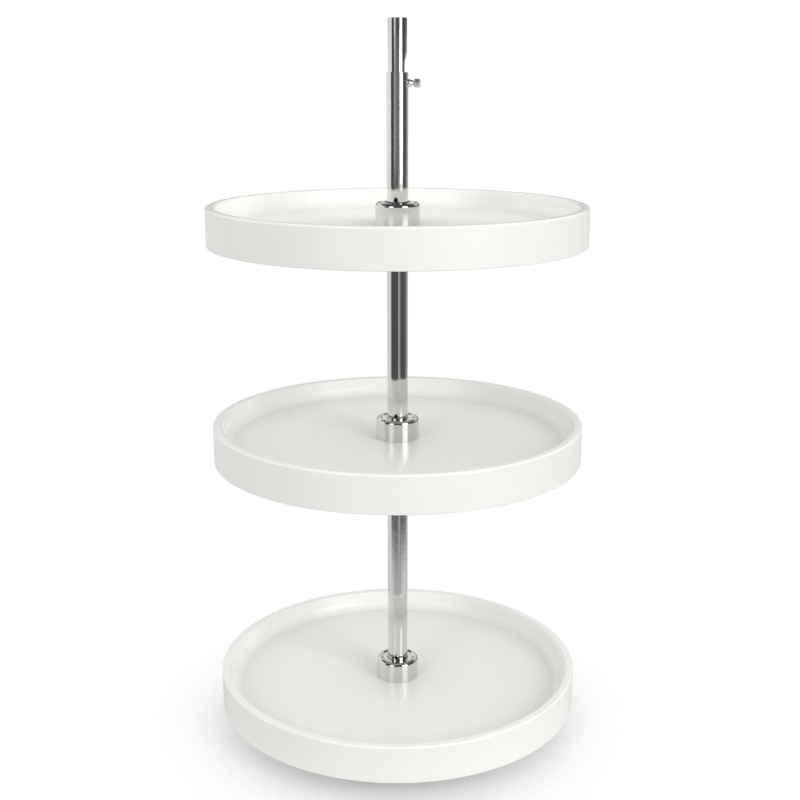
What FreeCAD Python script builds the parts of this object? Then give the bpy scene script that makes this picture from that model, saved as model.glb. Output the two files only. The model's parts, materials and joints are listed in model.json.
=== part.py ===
"""Three-tier pole lazy susan for a wall cabinet, as separate pieces.

A floor plate carries a telescoping post in a bearing cup. Three round trays turn round the
lower post on bushings. Each bushing runs on a carrier ring that sits on a cross pin, and a
second cross pin above the hub cap keeps the tray from riding up. The upper post slides in
the lower one and is held by a thumb screw that bears on a pressed flat.

Frame: millimetres, +Z up, origin at the centre of the floor plate's underside. The thumb
screw points along +X, and the cross pins lie nearly along Y.
"""

import math
import os
import types

import FreeCAD, Part
import Sketcher

DOCUMENT = "LazySusan"
SHEET = "Sizes"
PARTS_FOLDER = "parts"
FULL_TURN = 360
BEYOND = 5.0  # how far a cutting outline runs past the solid it cuts

# Name, value (millimetres, degrees or a count) and meaning of each driving size.
SIZES = [
    ("tray_diameter", 457.2, "tray, outside"),
    ("tray_height", 46.0, "rim to the lower edge of the skirt"),
    ("tray_depth", 24.0, "rim down to the floor of the tray"),
    ("tray_wall", 3.0, "skirt, rim, inner wall, floor and bosses"),
    ("rim_width", 11.0, "skirt's outer face to the inner wall's top"),
    ("rim_round", 2.8, "radius of the rim's two upper corners"),
    ("inner_lean", 1.6, "inner wall's top stands out past its foot"),
    ("floor_round", 13.0, "radius between inner wall and floor"),
    ("edge_round", 0.8, "radius of the tray's lesser edges"),
    ("rib_rise", 4.0, "ribs' lower edge above the skirt's"),
    ("rib_thickness", 2.4, "radial and ring ribs"),
    ("rib_count", 18, "radial ribs"),
    ("rib_hub_gap", 3.0, "lower boss to the place where the ribs deepen"),
    ("rib_hub_rise", 1.0, "ribs' lower edge at the boss, above the boss's end"),
    ("inner_ring_radius", 90.0, "middle of the inner ring rib"),
    ("outer_ring_radius", 160.0, "middle of the outer ring rib"),
    ("foot_gap", 4.7, "bearing cup's lip to the lowest cross pin"),
    ("lower_spacing", 326.0, "bottom rim to middle rim"),
    ("upper_spacing", 266.0, "middle rim to top rim"),
    ("post_diameter", 25.4, "lower post, outside"),
    ("post_wall", 1.2, "wall of both posts"),
    ("post_above_rim", 153.2, "top rim to the lower post's mouth"),
    ("post_reach", 60.8, "upper post above the lower post's mouth"),
    ("post_tuck", 115.2, "upper post inside the lower post"),
    ("post_slide_gap", 0.4, "radial, upper post in lower post"),
    ("post_edge", 0.35, "chamfer of the lower post's ends"),
    ("top_bushing_length", 22.0, "bushing in the upper post's top end"),
    ("top_bushing_bore", 5.1, "radius of the top bushing's bore"),
    ("top_bushing_mouth", 0.8, "chamfer of the top bushing's bore"),
    ("flat_depth", 2.4, "pressed flat below the upper post's surface"),
    ("flat_start", 39.5, "upper post's top end to the flat's ramp"),
    ("flat_ramp", 11.2, "length of the flat's ramp"),
    ("run_gap", 0.08, "radial, lower post in bushings and cup"),
    ("seat_gap", 0.05, "between pieces pushed together for good"),
    ("cap_diameter", 53.6, "hub cap, outside"),
    ("cap_wall", 1.6, "hub cap"),
    ("cap_rise", 2.8, "hub cap's top above the rim"),
    ("cap_shoulder", 4.6, "outer radius of the hub cap's shoulder"),
    ("cap_crest_width", 0.6, "flat crest inside the hub cap's shoulder"),
    ("cap_dish_slope", 2.4, "hub cap's crest to its sunken top, across"),
    ("cap_dish_depth", 1.4, "hub cap's sunken top below its crest"),
    ("cap_crest_round", 1.0, "radius of the crest's inner edge"),
    ("cap_dish_round", 1.5, "radius at the foot of the hub cap's slope"),
    ("cap_hole_gap", 0.6, "radial, hub cap's hole round the post"),
    ("cap_ring_height", 4.0, "tray's step that the hub cap snaps over"),
    ("boss_rise", 20.0, "tray's upper boss above its floor"),
    ("boss_drop", 11.0, "tray's lower boss below its floor"),
    ("bushing_wall", 3.6, "sleeve of the bushing"),
    ("bushing_proud", 1.6, "bushing's sleeve above the upper boss"),
    ("flange_thickness", 3.0, "bushing's flange"),
    ("carrier_height", 8.0, "carrier ring"),
    ("pin_radius", 3.0, "cross pins"),
    ("pin_bore", 2.25, "radius of the cross pins' hollow"),
    ("pin_slit", 1.0, "slit along the cross pins"),
    ("pin_edge", 0.5, "chamfer of the cross pins' ends"),
    ("pin_turn", 8.0, "degrees, cross pins turned off the Y axis"),
    ("pin_groove", 5.0, "depth of the carrier ring's groove"),
    ("carrier_pin_inset", 1.0, "carrier ring's outside to the pin's end"),
    ("retaining_pin_reach", 2.2, "retaining pin out of the post"),
    ("retaining_pin_gap", 0.5, "hub cap's top to the retaining pin"),
    ("plate_diameter", 110.0, "floor plate"),
    ("plate_thickness", 2.5, "floor plate"),
    ("plate_edge", 1.0, "radius round the floor plate's upper edge"),
    ("screw_circle", 84.0, "diameter of the circle of fixing holes"),
    ("screw_hole_count", 4, "fixing holes"),
    ("screw_hole_diameter", 4.8, "fixing holes"),
    ("countersink_diameter", 8.8, "fixing holes"),
    ("collar_wall", 2.5, "floor plate's collar"),
    ("collar_height", 14.0, "collar's top above the cabinet floor"),
    ("cup_wall", 2.3, "bearing cup round the post"),
    ("cup_floor", 1.5, "bearing cup under the foot plug"),
    ("cup_lip", 1.3, "bearing cup's lip on the collar"),
    ("plug_head", 2.0, "foot plug below the post's end"),
    ("plug_length", 10.0, "foot plug inside the post"),
    ("plug_wall", 4.0, "foot plug round its hollow"),
    ("lock_drop", 12.5, "lower post's mouth to the thumb screw"),
    ("boss_radius", 4.75, "boss that the thumb screw threads into"),
    ("boss_barrel", 1.0, "straight part of the boss, off the post"),
    ("boss_reach", 6.0, "end of the boss, off the post"),
    ("boss_nose", 3.1, "radius of the boss's end"),
    ("spigot_radius", 3.6, "boss's spigot in the post's wall"),
    ("spigot_inset", 1.7, "post's surface in to the spigot's end"),
    ("shank_radius", 2.5, "thumb screw's shank"),
    ("shank_gap", 0.05, "radial, shank in the boss"),
    ("shank_tip_gap", 0.06, "thumb screw's tip to the flat"),
    ("shank_neck", 0.5, "boss's end to the thumb screw's head"),
    ("head_radius", 5.1, "thumb screw's head"),
    ("head_length", 7.7, "thumb screw's head"),
    ("head_round", 2.3, "radius of the head's edges"),
    ("knurl_depth", 0.2, "knurl on the thumb screw's head"),
    ("knurl_count", 24, "grooves of the knurl"),
    ("driver_slot_width", 1.2, "slot in the thumb screw's head"),
    ("driver_slot_depth", 1.3, "slot in the thumb screw's head"),
]


class Size:
    """A number that keeps the spreadsheet formula it comes from."""

    def __init__(self, value, formula):
        self.value = value
        self.formula = formula

    def __add__(self, other):
        return Size(self.value + amount(other), f"({self.formula} + {formula(other)})")

    def __sub__(self, other):
        return Size(self.value - amount(other), f"({self.formula} - {formula(other)})")

    def __truediv__(self, other):
        return Size(self.value / amount(other), f"({self.formula} / {formula(other)})")

    def __neg__(self):
        return Size(-self.value, f"(0 - {self.formula})")


ZERO = Size(0.0, "0")


def amount(size):
    """The plain number of a size or a number."""
    return size.value if isinstance(size, Size) else size


def formula(size):
    """The spreadsheet formula of a size or a number."""
    return size.formula if isinstance(size, Size) else repr(size)


def make_sheet(document):
    """Writes the driving sizes into the spreadsheet and returns them by name."""
    sheet = document.addObject("Spreadsheet::Sheet", SHEET)
    sizes = types.SimpleNamespace()
    for row, (name, value, meaning) in enumerate(SIZES, start=1):
        sheet.set(f"A{row}", name)
        sheet.set(f"B{row}", str(value))
        sheet.set(f"C{row}", meaning)
        sheet.setAlias(f"B{row}", name)
        setattr(sizes, name, Size(value, f"{SHEET}.{name}"))
    document.recompute()
    return sizes


def add_shared_sizes(s):
    """Adds the radii and heights that pieces share, each worked out from the driving sizes."""
    s.tray_radius = s.tray_diameter / 2
    s.post_radius = s.post_diameter / 2
    s.run_radius = s.post_radius + s.run_gap
    s.upper_post_radius = s.post_radius - s.post_wall - s.post_slide_gap
    s.cap_radius = s.cap_diameter / 2
    s.cap_inner_radius = s.cap_radius - s.cap_wall
    s.sleeve_radius = s.run_radius + s.bushing_wall
    s.tray_bore = s.sleeve_radius + s.seat_gap
    s.boss_outer = s.tray_bore + s.tray_wall

    # Heights in a tray's own frame, which has its origin at the middle of the rim's plane.
    s.floor_top = -s.tray_depth
    s.floor_under = s.floor_top - s.tray_wall
    s.boss_top = s.floor_top + s.boss_rise
    s.boss_under = s.floor_under - s.boss_drop
    s.flange_under = s.boss_under - s.flange_thickness
    s.carrier_under = s.flange_under - s.carrier_height
    s.carrier_pin_level = s.carrier_under + s.pin_groove - s.pin_radius
    s.retaining_pin_level = s.cap_rise + s.retaining_pin_gap + s.pin_radius

    # Heights above the cabinet floor.
    s.cup_top = s.collar_height + s.cup_lip
    s.lower_rim = s.cup_top + s.foot_gap + s.pin_radius - s.carrier_pin_level
    s.middle_rim = s.lower_rim + s.lower_spacing
    s.upper_rim = s.middle_rim + s.upper_spacing
    s.cup_floor_top = s.plate_thickness + s.cup_floor
    s.post_foot = s.cup_floor_top + s.plug_head
    s.post_mouth = s.upper_rim + s.post_above_rim
    s.post_top = s.post_mouth + s.post_reach
    s.lock_level = s.post_mouth - s.lock_drop
    s.flat_face = s.upper_post_radius - s.flat_depth
    s.boss_end = s.post_radius + s.boss_reach
    s.head_start = s.boss_end + s.shank_neck
    s.head_end = s.head_start + s.head_length


def add_body(document, name, height=ZERO):
    """A body whose origin lies on the post's axis at the given height."""
    body = document.addObject("PartDesign::Body", name)
    body.Label = name
    body.Placement = FreeCAD.Placement(FreeCAD.Vector(0, 0, height.value), FreeCAD.Rotation())
    body.setExpression("Placement.Base.z", height.formula)
    return body


def turn_body(body, s):
    """Turns a body of a cross pin's group clockwise, seen from above."""
    body.Placement.Rotation = FreeCAD.Rotation(FreeCAD.Vector(0, 0, -1), s.pin_turn.value)
    body.setExpression("Placement.Rotation.Angle", s.pin_turn.formula)


def add_sketch(body, name, plane):
    """A sketch on one of the body's own origin planes."""
    sketch = body.newObject("Sketcher::SketchObject", f"{body.Name}_{name}")
    planes = [item for item in body.Origin.OriginFeatures if item.Role == plane]
    sketch.AttachmentSupport = (planes[0], [""])
    sketch.MapMode = "FlatFace"
    return sketch


def bind(sketch, constraint, size):
    """Adds a dimension to a sketch and ties it to the spreadsheet."""
    index = sketch.addConstraint(constraint)
    sketch.setExpression(f"Constraints[{index}]", size.formula)


def place_point(sketch, geometry, end, across, up):
    """Fixes a point of the sketch by its two distances from the sketch's origin."""
    bind(sketch, Sketcher.Constraint("DistanceX", geometry, end, across.value), across)
    bind(sketch, Sketcher.Constraint("DistanceY", geometry, end, up.value), up)


def draw_circle(sketch, across, up, radius):
    """Draws a circle with its centre and radius tied to the spreadsheet."""
    centre = FreeCAD.Vector(across.value, up.value, 0)
    circle = sketch.addGeometry(Part.Circle(centre, FreeCAD.Vector(0, 0, 1), radius.value))
    place_point(sketch, circle, 3, across, up)
    bind(sketch, Sketcher.Constraint("Radius", circle, radius.value), radius)


def round_corner(sketch, corner, before, after, spot, toward_before, toward_after):
    """Rounds the corner between two lines with an arc that touches both."""
    across, up, radius = corner
    marker = sketch.addGeometry(Part.Point(spot), True)
    place_point(sketch, marker, 1, across, up)
    sketch.addConstraint(Sketcher.Constraint("PointOnObject", marker, 1, before))
    sketch.addConstraint(Sketcher.Constraint("PointOnObject", marker, 1, after))
    half_angle = toward_before.getAngle(toward_after) / 2
    middle = (toward_before + toward_after).normalize()
    centre = spot + middle * (radius.value / math.sin(half_angle))
    left_turn = toward_after.cross(toward_before).z > 0
    first, last = (toward_before, toward_after) if left_turn else (toward_after, toward_before)
    tangent_length = radius.value / math.tan(half_angle)
    begin = spot + first * tangent_length - centre
    finish = spot + last * tangent_length - centre
    circle = Part.Circle(centre, FreeCAD.Vector(0, 0, 1), radius.value)
    begin_angle = math.atan2(begin.y, begin.x)
    finish_angle = math.atan2(finish.y, finish.x)
    arc = sketch.addGeometry(Part.ArcOfCircle(circle, begin_angle, finish_angle))
    arrive, leave = (1, 2) if left_turn else (2, 1)
    sketch.addConstraint(Sketcher.Constraint("Tangent", before, 2, arc, arrive))
    sketch.addConstraint(Sketcher.Constraint("Tangent", arc, leave, after, 1))
    bind(sketch, Sketcher.Constraint("Radius", arc, radius.value), radius)


def draw_outline(sketch, corners):
    """Draws a closed outline. A corner is its two distances, and its radius if it is rounded."""
    spots = [FreeCAD.Vector(corner[0].value, corner[1].value, 0) for corner in corners]
    count = len(corners)
    forward = [(spots[(i + 1) % count] - spots[i]).normalize() for i in range(count)]
    trims = []
    for i, corner in enumerate(corners):
        half_angle = (-forward[i - 1]).getAngle(forward[i]) / 2
        trims.append(corner[2].value / math.tan(half_angle) if len(corner) == 3 else 0.0)
    lines = []
    for i in range(count):
        following = (i + 1) % count
        start = spots[i] + forward[i] * trims[i]
        finish = spots[following] - forward[i] * trims[following]
        lines.append(sketch.addGeometry(Part.LineSegment(start, finish)))
    for i, corner in enumerate(corners):
        before, after = lines[i - 1], lines[i]
        if len(corner) == 3:
            round_corner(sketch, corner, before, after, spots[i], -forward[i - 1], forward[i])
        else:
            sketch.addConstraint(Sketcher.Constraint("Coincident", before, 2, after, 1))
            place_point(sketch, after, 1, corner[0], corner[1])


def revolve(body, name, corners, plane="XZ_Plane", axis="V_Axis"):
    """Turns an outline round one of its sketch's axes."""
    sketch = add_sketch(body, f"{name}_outline", plane)
    draw_outline(sketch, corners)
    feature = body.newObject("PartDesign::Revolution", f"{body.Name}_{name}")
    feature.Profile = sketch
    feature.ReferenceAxis = (sketch, [axis])
    feature.Angle = FULL_TURN
    return feature


def pocket(body, name, sketch, both_ways=True, backward=False):
    """Cuts a sketch through the whole body, to both sides of its plane or to one."""
    feature = body.newObject("PartDesign::Pocket", f"{body.Name}_{name}")
    feature.Profile = sketch
    feature.Type = "ThroughAll"
    feature.SideType = "Symmetric" if both_ways else "One side"
    feature.Reversed = backward
    return feature


def repeat_round(body, name, feature, axis, count):
    """Repeats a feature evenly round an axis and makes the pattern the body's result."""
    pattern = body.newObject("PartDesign::PolarPattern", f"{body.Name}_{name}")
    pattern.Originals = [feature]
    pattern.Axis = axis
    pattern.Angle = FULL_TURN
    pattern.Occurrences = int(count.value)
    pattern.setExpression("Occurrences", count.formula)
    body.Tip = pattern
    return pattern


def make_floor_plate(document, s):
    """Round steel plate with a collar for the bearing cup and countersunk fixing holes."""
    body = add_body(document, "floor_plate")
    plate_radius = s.plate_diameter / 2
    collar_bore = s.run_radius + s.cup_wall + s.seat_gap
    collar_outer = collar_bore + s.collar_wall
    revolve(body, "plate", [
        (ZERO, ZERO),
        (plate_radius, ZERO),
        (plate_radius, s.plate_thickness, s.plate_edge),
        (collar_outer, s.plate_thickness, s.plate_edge),
        (collar_outer, s.collar_height),
        (collar_bore, s.collar_height),
        (collar_bore, s.plate_thickness),
        (ZERO, s.plate_thickness),
    ])
    document.recompute()
    sketch = add_sketch(body, "fixing_hole_centre", "XY_Plane")
    sketch.AttachmentOffset = FreeCAD.Placement(
        FreeCAD.Vector(0, 0, s.plate_thickness.value), FreeCAD.Rotation())
    sketch.setExpression("AttachmentOffset.Base.z", s.plate_thickness.formula)
    draw_circle(sketch, s.screw_circle / 2, ZERO, s.screw_hole_diameter / 2)
    hole = body.newObject("PartDesign::Hole", "floor_plate_fixing_hole")
    hole.Profile = sketch
    document.recompute()
    hole.ThreadType = "None"
    hole.DepthType = "ThroughAll"
    hole.HoleCutType = "Countersink"
    hole.HoleCutCustomValues = True
    hole.HoleCutCountersinkAngle = 90
    hole.Diameter = s.screw_hole_diameter.value
    hole.HoleCutDiameter = s.countersink_diameter.value
    hole.setExpression("Diameter", s.screw_hole_diameter.formula)
    hole.setExpression("HoleCutDiameter", s.countersink_diameter.formula)
    document.recompute()
    repeat_round(body, "fixing_holes", hole, (sketch, ["N_Axis"]), s.screw_hole_count)
    return body


def make_bearing_cup(document, s):
    """Slippery liner in the collar: the post turns in it and the foot plug stands on it."""
    body = add_body(document, "bearing_cup")
    cup_outer = s.run_radius + s.cup_wall
    lip_outer = cup_outer + s.seat_gap + s.collar_wall
    revolve(body, "cup", [
        (ZERO, s.plate_thickness),
        (cup_outer, s.plate_thickness),
        (cup_outer, s.collar_height),
        (lip_outer, s.collar_height),
        (lip_outer, s.cup_top),
        (s.run_radius, s.cup_top),
        (s.run_radius, s.cup_floor_top),
        (ZERO, s.cup_floor_top),
    ])
    return body


def make_foot_plug(document, s):
    """Plug in the lower end of the post, which stands on the bearing cup."""
    body = add_body(document, "foot_plug")
    plug_radius = s.post_radius - s.post_wall - s.seat_gap
    hollow_radius = plug_radius - s.plug_wall
    plug_top = s.post_foot + s.plug_length
    revolve(body, "plug", [
        (ZERO, s.cup_floor_top),
        (s.post_radius, s.cup_floor_top),
        (s.post_radius, s.post_foot),
        (plug_radius, s.post_foot),
        (plug_radius, plug_top),
        (hollow_radius, plug_top),
        (hollow_radius, s.post_foot),
        (ZERO, s.post_foot),
    ])
    return body


def make_lower_post(document, s):
    """Tube that carries the trays, with a hole pair for each cross pin and one for the boss."""
    body = add_body(document, "lower_post")
    bore = s.post_radius - s.post_wall
    edge = s.post_edge
    revolve(body, "tube", [
        (bore, s.post_foot + edge),
        (bore + edge, s.post_foot),
        (s.post_radius - edge, s.post_foot),
        (s.post_radius, s.post_foot + edge),
        (s.post_radius, s.post_mouth - edge),
        (s.post_radius - edge, s.post_mouth),
        (bore + edge, s.post_mouth),
        (bore, s.post_mouth - edge),
    ])
    pin_holes = add_sketch(body, "pin_hole_circles", "XZ_Plane")
    pin_holes.AttachmentOffset = FreeCAD.Placement(
        FreeCAD.Vector(), FreeCAD.Rotation(FreeCAD.Vector(0, -1, 0), s.pin_turn.value))
    pin_holes.setExpression("AttachmentOffset.Rotation.Angle", s.pin_turn.formula)
    for rim in (s.lower_rim, s.middle_rim, s.upper_rim):
        for level in (s.carrier_pin_level, s.retaining_pin_level):
            draw_circle(pin_holes, ZERO, rim + level, s.pin_radius + s.seat_gap)
    pocket(body, "pin_holes", pin_holes)
    boss_hole = add_sketch(body, "boss_hole_circle", "YZ_Plane")
    draw_circle(boss_hole, ZERO, s.lock_level, s.spigot_radius + s.seat_gap)
    pocket(body, "boss_hole", boss_hole, both_ways=False, backward=True)
    return body


def flat_prism(document, s, name, inset):
    """Block that takes the pressed flat off a rod, or off its bore with the wall as inset."""
    foot = s.post_mouth - s.post_tuck
    ramp_top = s.post_top - s.flat_start
    face = s.flat_face - inset
    surface = s.upper_post_radius - inset
    outside = s.upper_post_radius + BEYOND
    sketch = document.addObject("Sketcher::SketchObject", f"{name}_outline")
    sketch.Placement.Rotation = FreeCAD.Rotation(FreeCAD.Vector(1, 0, 0), 90)
    draw_outline(sketch, [
        (face, foot - BEYOND),
        (outside, foot - BEYOND),
        (outside, ramp_top),
        (surface, ramp_top),
        (face, ramp_top - s.flat_ramp),
    ])
    prism = document.addObject("Part::Extrusion", name)
    prism.Base = sketch
    prism.DirMode = "Normal"
    prism.Symmetric = True
    prism.Solid = True
    prism.LengthFwd = s.post_diameter.value
    prism.setExpression("LengthFwd", s.post_diameter.formula)
    return prism


def flatted_rod(document, s, name, inset):
    """Rod of the upper post's outside, or of its bore, with the pressed flat taken off."""
    rod = document.addObject("Part::Cylinder", f"{name}_rod")
    radius = s.upper_post_radius - inset
    foot = s.post_mouth - s.post_tuck
    length = s.post_reach + s.post_tuck
    rod.Radius = radius.value
    rod.Height = length.value
    rod.Placement.Base.z = foot.value
    rod.setExpression("Radius", radius.formula)
    rod.setExpression("Height", length.formula)
    rod.setExpression("Placement.Base.z", foot.formula)
    result = document.addObject("Part::Cut", name)
    result.Base = rod
    result.Tool = flat_prism(document, s, f"{name}_flat", inset)
    return result


def make_upper_post(document, s):
    """Thinner tube that slides in the lower post, with a flat pressed into one side."""
    post = document.addObject("Part::Cut", "upper_post")
    post.Label = "upper_post"
    post.Base = flatted_rod(document, s, "upper_post_outside", ZERO)
    post.Tool = flatted_rod(document, s, "upper_post_bore", s.post_wall)
    return post


def make_top_bushing(document, s):
    """Bushing pressed into the upper post's top end, for the pivot pin under a cabinet's top."""
    body = add_body(document, "top_bushing")
    bushing_outer = s.upper_post_radius - s.post_wall - s.seat_gap
    bushing_foot = s.post_top - s.top_bushing_length
    revolve(body, "bushing", [
        (s.top_bushing_bore, bushing_foot),
        (bushing_outer, bushing_foot),
        (bushing_outer, s.post_top),
        (s.top_bushing_bore + s.top_bushing_mouth, s.post_top),
        (s.top_bushing_bore, s.post_top - s.top_bushing_mouth),
    ])
    return body


def make_lock_boss(document, s):
    """Threaded boss riveted through the post's wall, with its foot shaped to the post."""
    body = add_body(document, "lock_boss", s.lock_level)
    bore = s.shank_radius + s.shank_gap
    spigot_end = s.post_radius - s.spigot_inset
    barrel_end = s.post_radius + s.boss_barrel
    revolve(body, "barrel", [
        (spigot_end, bore),
        (s.boss_end, bore),
        (s.boss_end, s.boss_nose),
        (barrel_end, s.boss_radius),
        (spigot_end, s.boss_radius),
    ], axis="H_Axis")
    saddle = add_sketch(body, "saddle_circle", "XY_Plane")
    draw_circle(saddle, ZERO, ZERO, s.post_radius)
    pocket(body, "saddle", saddle)
    revolve(body, "spigot", [
        (spigot_end, bore),
        (s.post_radius, bore),
        (s.post_radius, s.spigot_radius),
        (spigot_end, s.spigot_radius),
    ], axis="H_Axis")
    return body


def make_lock_screw(document, s):
    """Knurled thumb screw whose tip bears on the upper post's flat."""
    body = add_body(document, "lock_screw", s.lock_level)
    tip = s.flat_face + s.shank_tip_gap
    revolve(body, "shank_and_head", [
        (tip, ZERO),
        (s.head_end, ZERO),
        (s.head_end, s.head_radius, s.head_round),
        (s.head_start, s.head_radius, s.head_round),
        (s.head_start, s.shank_radius),
        (tip, s.shank_radius),
    ], axis="H_Axis")
    groove = add_sketch(body, "knurl_groove_outline", "YZ_Plane")
    draw_outline(groove, [
        (-s.knurl_depth, s.head_radius + s.knurl_depth),
        (ZERO, s.head_radius - s.knurl_depth),
        (s.knurl_depth, s.head_radius + s.knurl_depth),
    ])
    knurl = pocket(body, "knurl_groove", groove, both_ways=False, backward=True)
    repeat_round(body, "knurl", knurl, (groove, ["N_Axis"]), s.knurl_count)
    slot = add_sketch(body, "driver_slot_outline", "XZ_Plane")
    half_width = s.driver_slot_width / 2
    slot_floor = s.head_end - s.driver_slot_depth
    draw_outline(slot, [
        (slot_floor, -half_width),
        (s.head_end + BEYOND, -half_width),
        (s.head_end + BEYOND, half_width),
        (slot_floor, half_width),
    ])
    pocket(body, "driver_slot", slot)
    return body


def make_tray(document, s, tier, rim):
    """Moulded tray: double-walled rim, dished floor, hub bosses and ribs underneath."""
    body = add_body(document, f"{tier}_tray", rim)
    rim_inner = s.tray_radius - s.rim_width
    wall_foot = rim_inner - s.inner_lean
    skirt_inner = s.tray_radius - s.tray_wall
    skirt_under = -s.tray_height
    rim_under = -s.tray_wall
    rib_under = skirt_under + s.rib_rise
    half_rib = s.rib_thickness / 2
    cap_step = s.cap_inner_radius - s.seat_gap
    cap_step_top = s.floor_top + s.cap_ring_height
    ring_ribs = []
    for ring_radius in (s.outer_ring_radius, s.inner_ring_radius):
        ring_ribs += [
            (ring_radius + half_rib, s.floor_under),
            (ring_radius + half_rib, rib_under),
            (ring_radius - half_rib, rib_under),
            (ring_radius - half_rib, s.floor_under),
        ]
    revolve(body, "shell", [
        (s.tray_bore, s.boss_top),
        (s.boss_outer, s.boss_top, s.edge_round),
        (s.boss_outer, cap_step_top),
        (cap_step, cap_step_top, s.edge_round),
        (cap_step, s.floor_top),
        (wall_foot, s.floor_top, s.floor_round),
        (rim_inner, ZERO, s.rim_round),
        (s.tray_radius, ZERO, s.rim_round),
        (s.tray_radius, skirt_under, s.edge_round),
        (skirt_inner, skirt_under, s.edge_round),
        (skirt_inner, rim_under, s.edge_round),
        (rim_inner + s.tray_wall, rim_under, s.edge_round),
        (wall_foot + s.tray_wall, s.floor_under, s.floor_round + s.tray_wall),
        *ring_ribs,
        (s.boss_outer, s.floor_under),
        (s.boss_outer, s.boss_under),
        (s.tray_bore, s.boss_under),
    ])
    half_wall = s.tray_wall / 2
    floor_middle = s.floor_top - half_wall
    rib_root = s.boss_outer - half_wall
    rib_tip = s.tray_radius - half_wall
    hub_rib_under = s.boss_under + s.rib_hub_rise
    outline = add_sketch(body, "rib_outline", "XZ_Plane")
    draw_outline(outline, [
        (rib_root, hub_rib_under),
        (s.boss_outer + s.rib_hub_gap, hub_rib_under),
        (s.boss_outer + s.rib_hub_gap, rib_under),
        (rib_tip, rib_under),
        (rib_tip, rim_under + half_wall),
        (rim_inner + half_wall, rim_under + half_wall),
        (wall_foot + half_wall, floor_middle, s.floor_round + half_wall),
        (rib_root, floor_middle),
    ])
    rib = body.newObject("PartDesign::Pad", f"{body.Name}_rib")
    rib.Profile = outline
    rib.SideType = "Symmetric"
    rib.Length = s.rib_thickness.value
    rib.setExpression("Length", s.rib_thickness.formula)
    repeat_round(body, "ribs", rib, (outline, ["V_Axis"]), s.rib_count)
    return body


def make_hub_cap(document, s, tier, rim):
    """Plated cap with a round shoulder and a sunken top, standing on the tray's floor."""
    body = add_body(document, f"{tier}_hub_cap", rim)
    hole = s.post_radius + s.cap_hole_gap
    crest = s.cap_radius - s.cap_shoulder - s.cap_crest_width
    dish = crest - s.cap_dish_slope
    dish_top = s.cap_rise - s.cap_dish_depth
    aside = s.cap_wall / 4  # keeps the wall even on the slope
    revolve(body, "cap", [
        (s.cap_radius, s.floor_top),
        (s.cap_radius, s.cap_rise, s.cap_shoulder),
        (crest, s.cap_rise, s.cap_crest_round),
        (dish, dish_top, s.cap_dish_round),
        (hole, dish_top),
        (hole, dish_top - s.cap_wall),
        (dish + aside, dish_top - s.cap_wall),
        (crest + aside, s.cap_rise - s.cap_wall),
        (s.cap_inner_radius, s.cap_rise - s.cap_wall, s.cap_shoulder - s.cap_wall),
        (s.cap_inner_radius, s.floor_top),
    ])
    return body


def make_hub_bushing(document, s, tier, rim):
    """Flanged sleeve pressed up into the tray, which turns on the post."""
    body = add_body(document, f"{tier}_hub_bushing", rim)
    sleeve_top = s.boss_top + s.bushing_proud
    revolve(body, "sleeve", [
        (s.run_radius, sleeve_top),
        (s.sleeve_radius, sleeve_top),
        (s.sleeve_radius, s.boss_under),
        (s.boss_outer, s.boss_under),
        (s.boss_outer, s.flange_under),
        (s.run_radius, s.flange_under),
    ])
    return body


def make_carrier_ring(document, s, tier, rim):
    """Ring under the bushing, with a groove across its underside that sits on a pin."""
    body = add_body(document, f"{tier}_carrier_ring", rim)
    turn_body(body, s)
    revolve(body, "ring", [
        (s.run_radius, s.flange_under),
        (s.boss_outer, s.flange_under),
        (s.boss_outer, s.carrier_under),
        (s.run_radius, s.carrier_under),
    ])
    half_groove = s.pin_radius + s.seat_gap
    groove_top = s.carrier_under + s.pin_groove
    groove = add_sketch(body, "groove_outline", "XZ_Plane")
    draw_outline(groove, [
        (-half_groove, s.carrier_under - BEYOND),
        (half_groove, s.carrier_under - BEYOND),
        (half_groove, groove_top),
        (-half_groove, groove_top),
    ])
    pocket(body, "groove", groove)
    return body


def make_cross_pin(document, s, name, level, half_length):
    """Slit spring pin through the post."""
    body = add_body(document, name, level)
    turn_body(body, s)
    revolve(body, "tube", [
        (s.pin_bore, -half_length),
        (s.pin_radius - s.pin_edge, -half_length),
        (s.pin_radius, -half_length + s.pin_edge),
        (s.pin_radius, half_length - s.pin_edge),
        (s.pin_radius - s.pin_edge, half_length),
        (s.pin_bore, half_length),
    ], plane="XY_Plane")
    half_slit = s.pin_slit / 2
    slit = add_sketch(body, "slit_outline", "XY_Plane")
    draw_outline(slit, [
        (-half_slit, -half_length - BEYOND),
        (half_slit, -half_length - BEYOND),
        (half_slit, half_length + BEYOND),
        (-half_slit, half_length + BEYOND),
    ])
    pocket(body, "slit", slit, both_ways=False)
    return body


def make_tier(document, s, tier, rim):
    """One tray with everything that carries it, turns it and keeps it on the post."""
    carrier_pin_half = s.boss_outer - s.carrier_pin_inset
    retaining_pin_half = s.post_radius + s.retaining_pin_reach
    carrier_level = rim + s.carrier_pin_level
    retaining_level = rim + s.retaining_pin_level
    return [
        make_tray(document, s, tier, rim),
        make_hub_cap(document, s, tier, rim),
        make_hub_bushing(document, s, tier, rim),
        make_carrier_ring(document, s, tier, rim),
        make_cross_pin(document, s, f"{tier}_carrier_pin", carrier_level, carrier_pin_half),
        make_cross_pin(document, s, f"{tier}_retaining_pin", retaining_level, retaining_pin_half),
    ]


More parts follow.
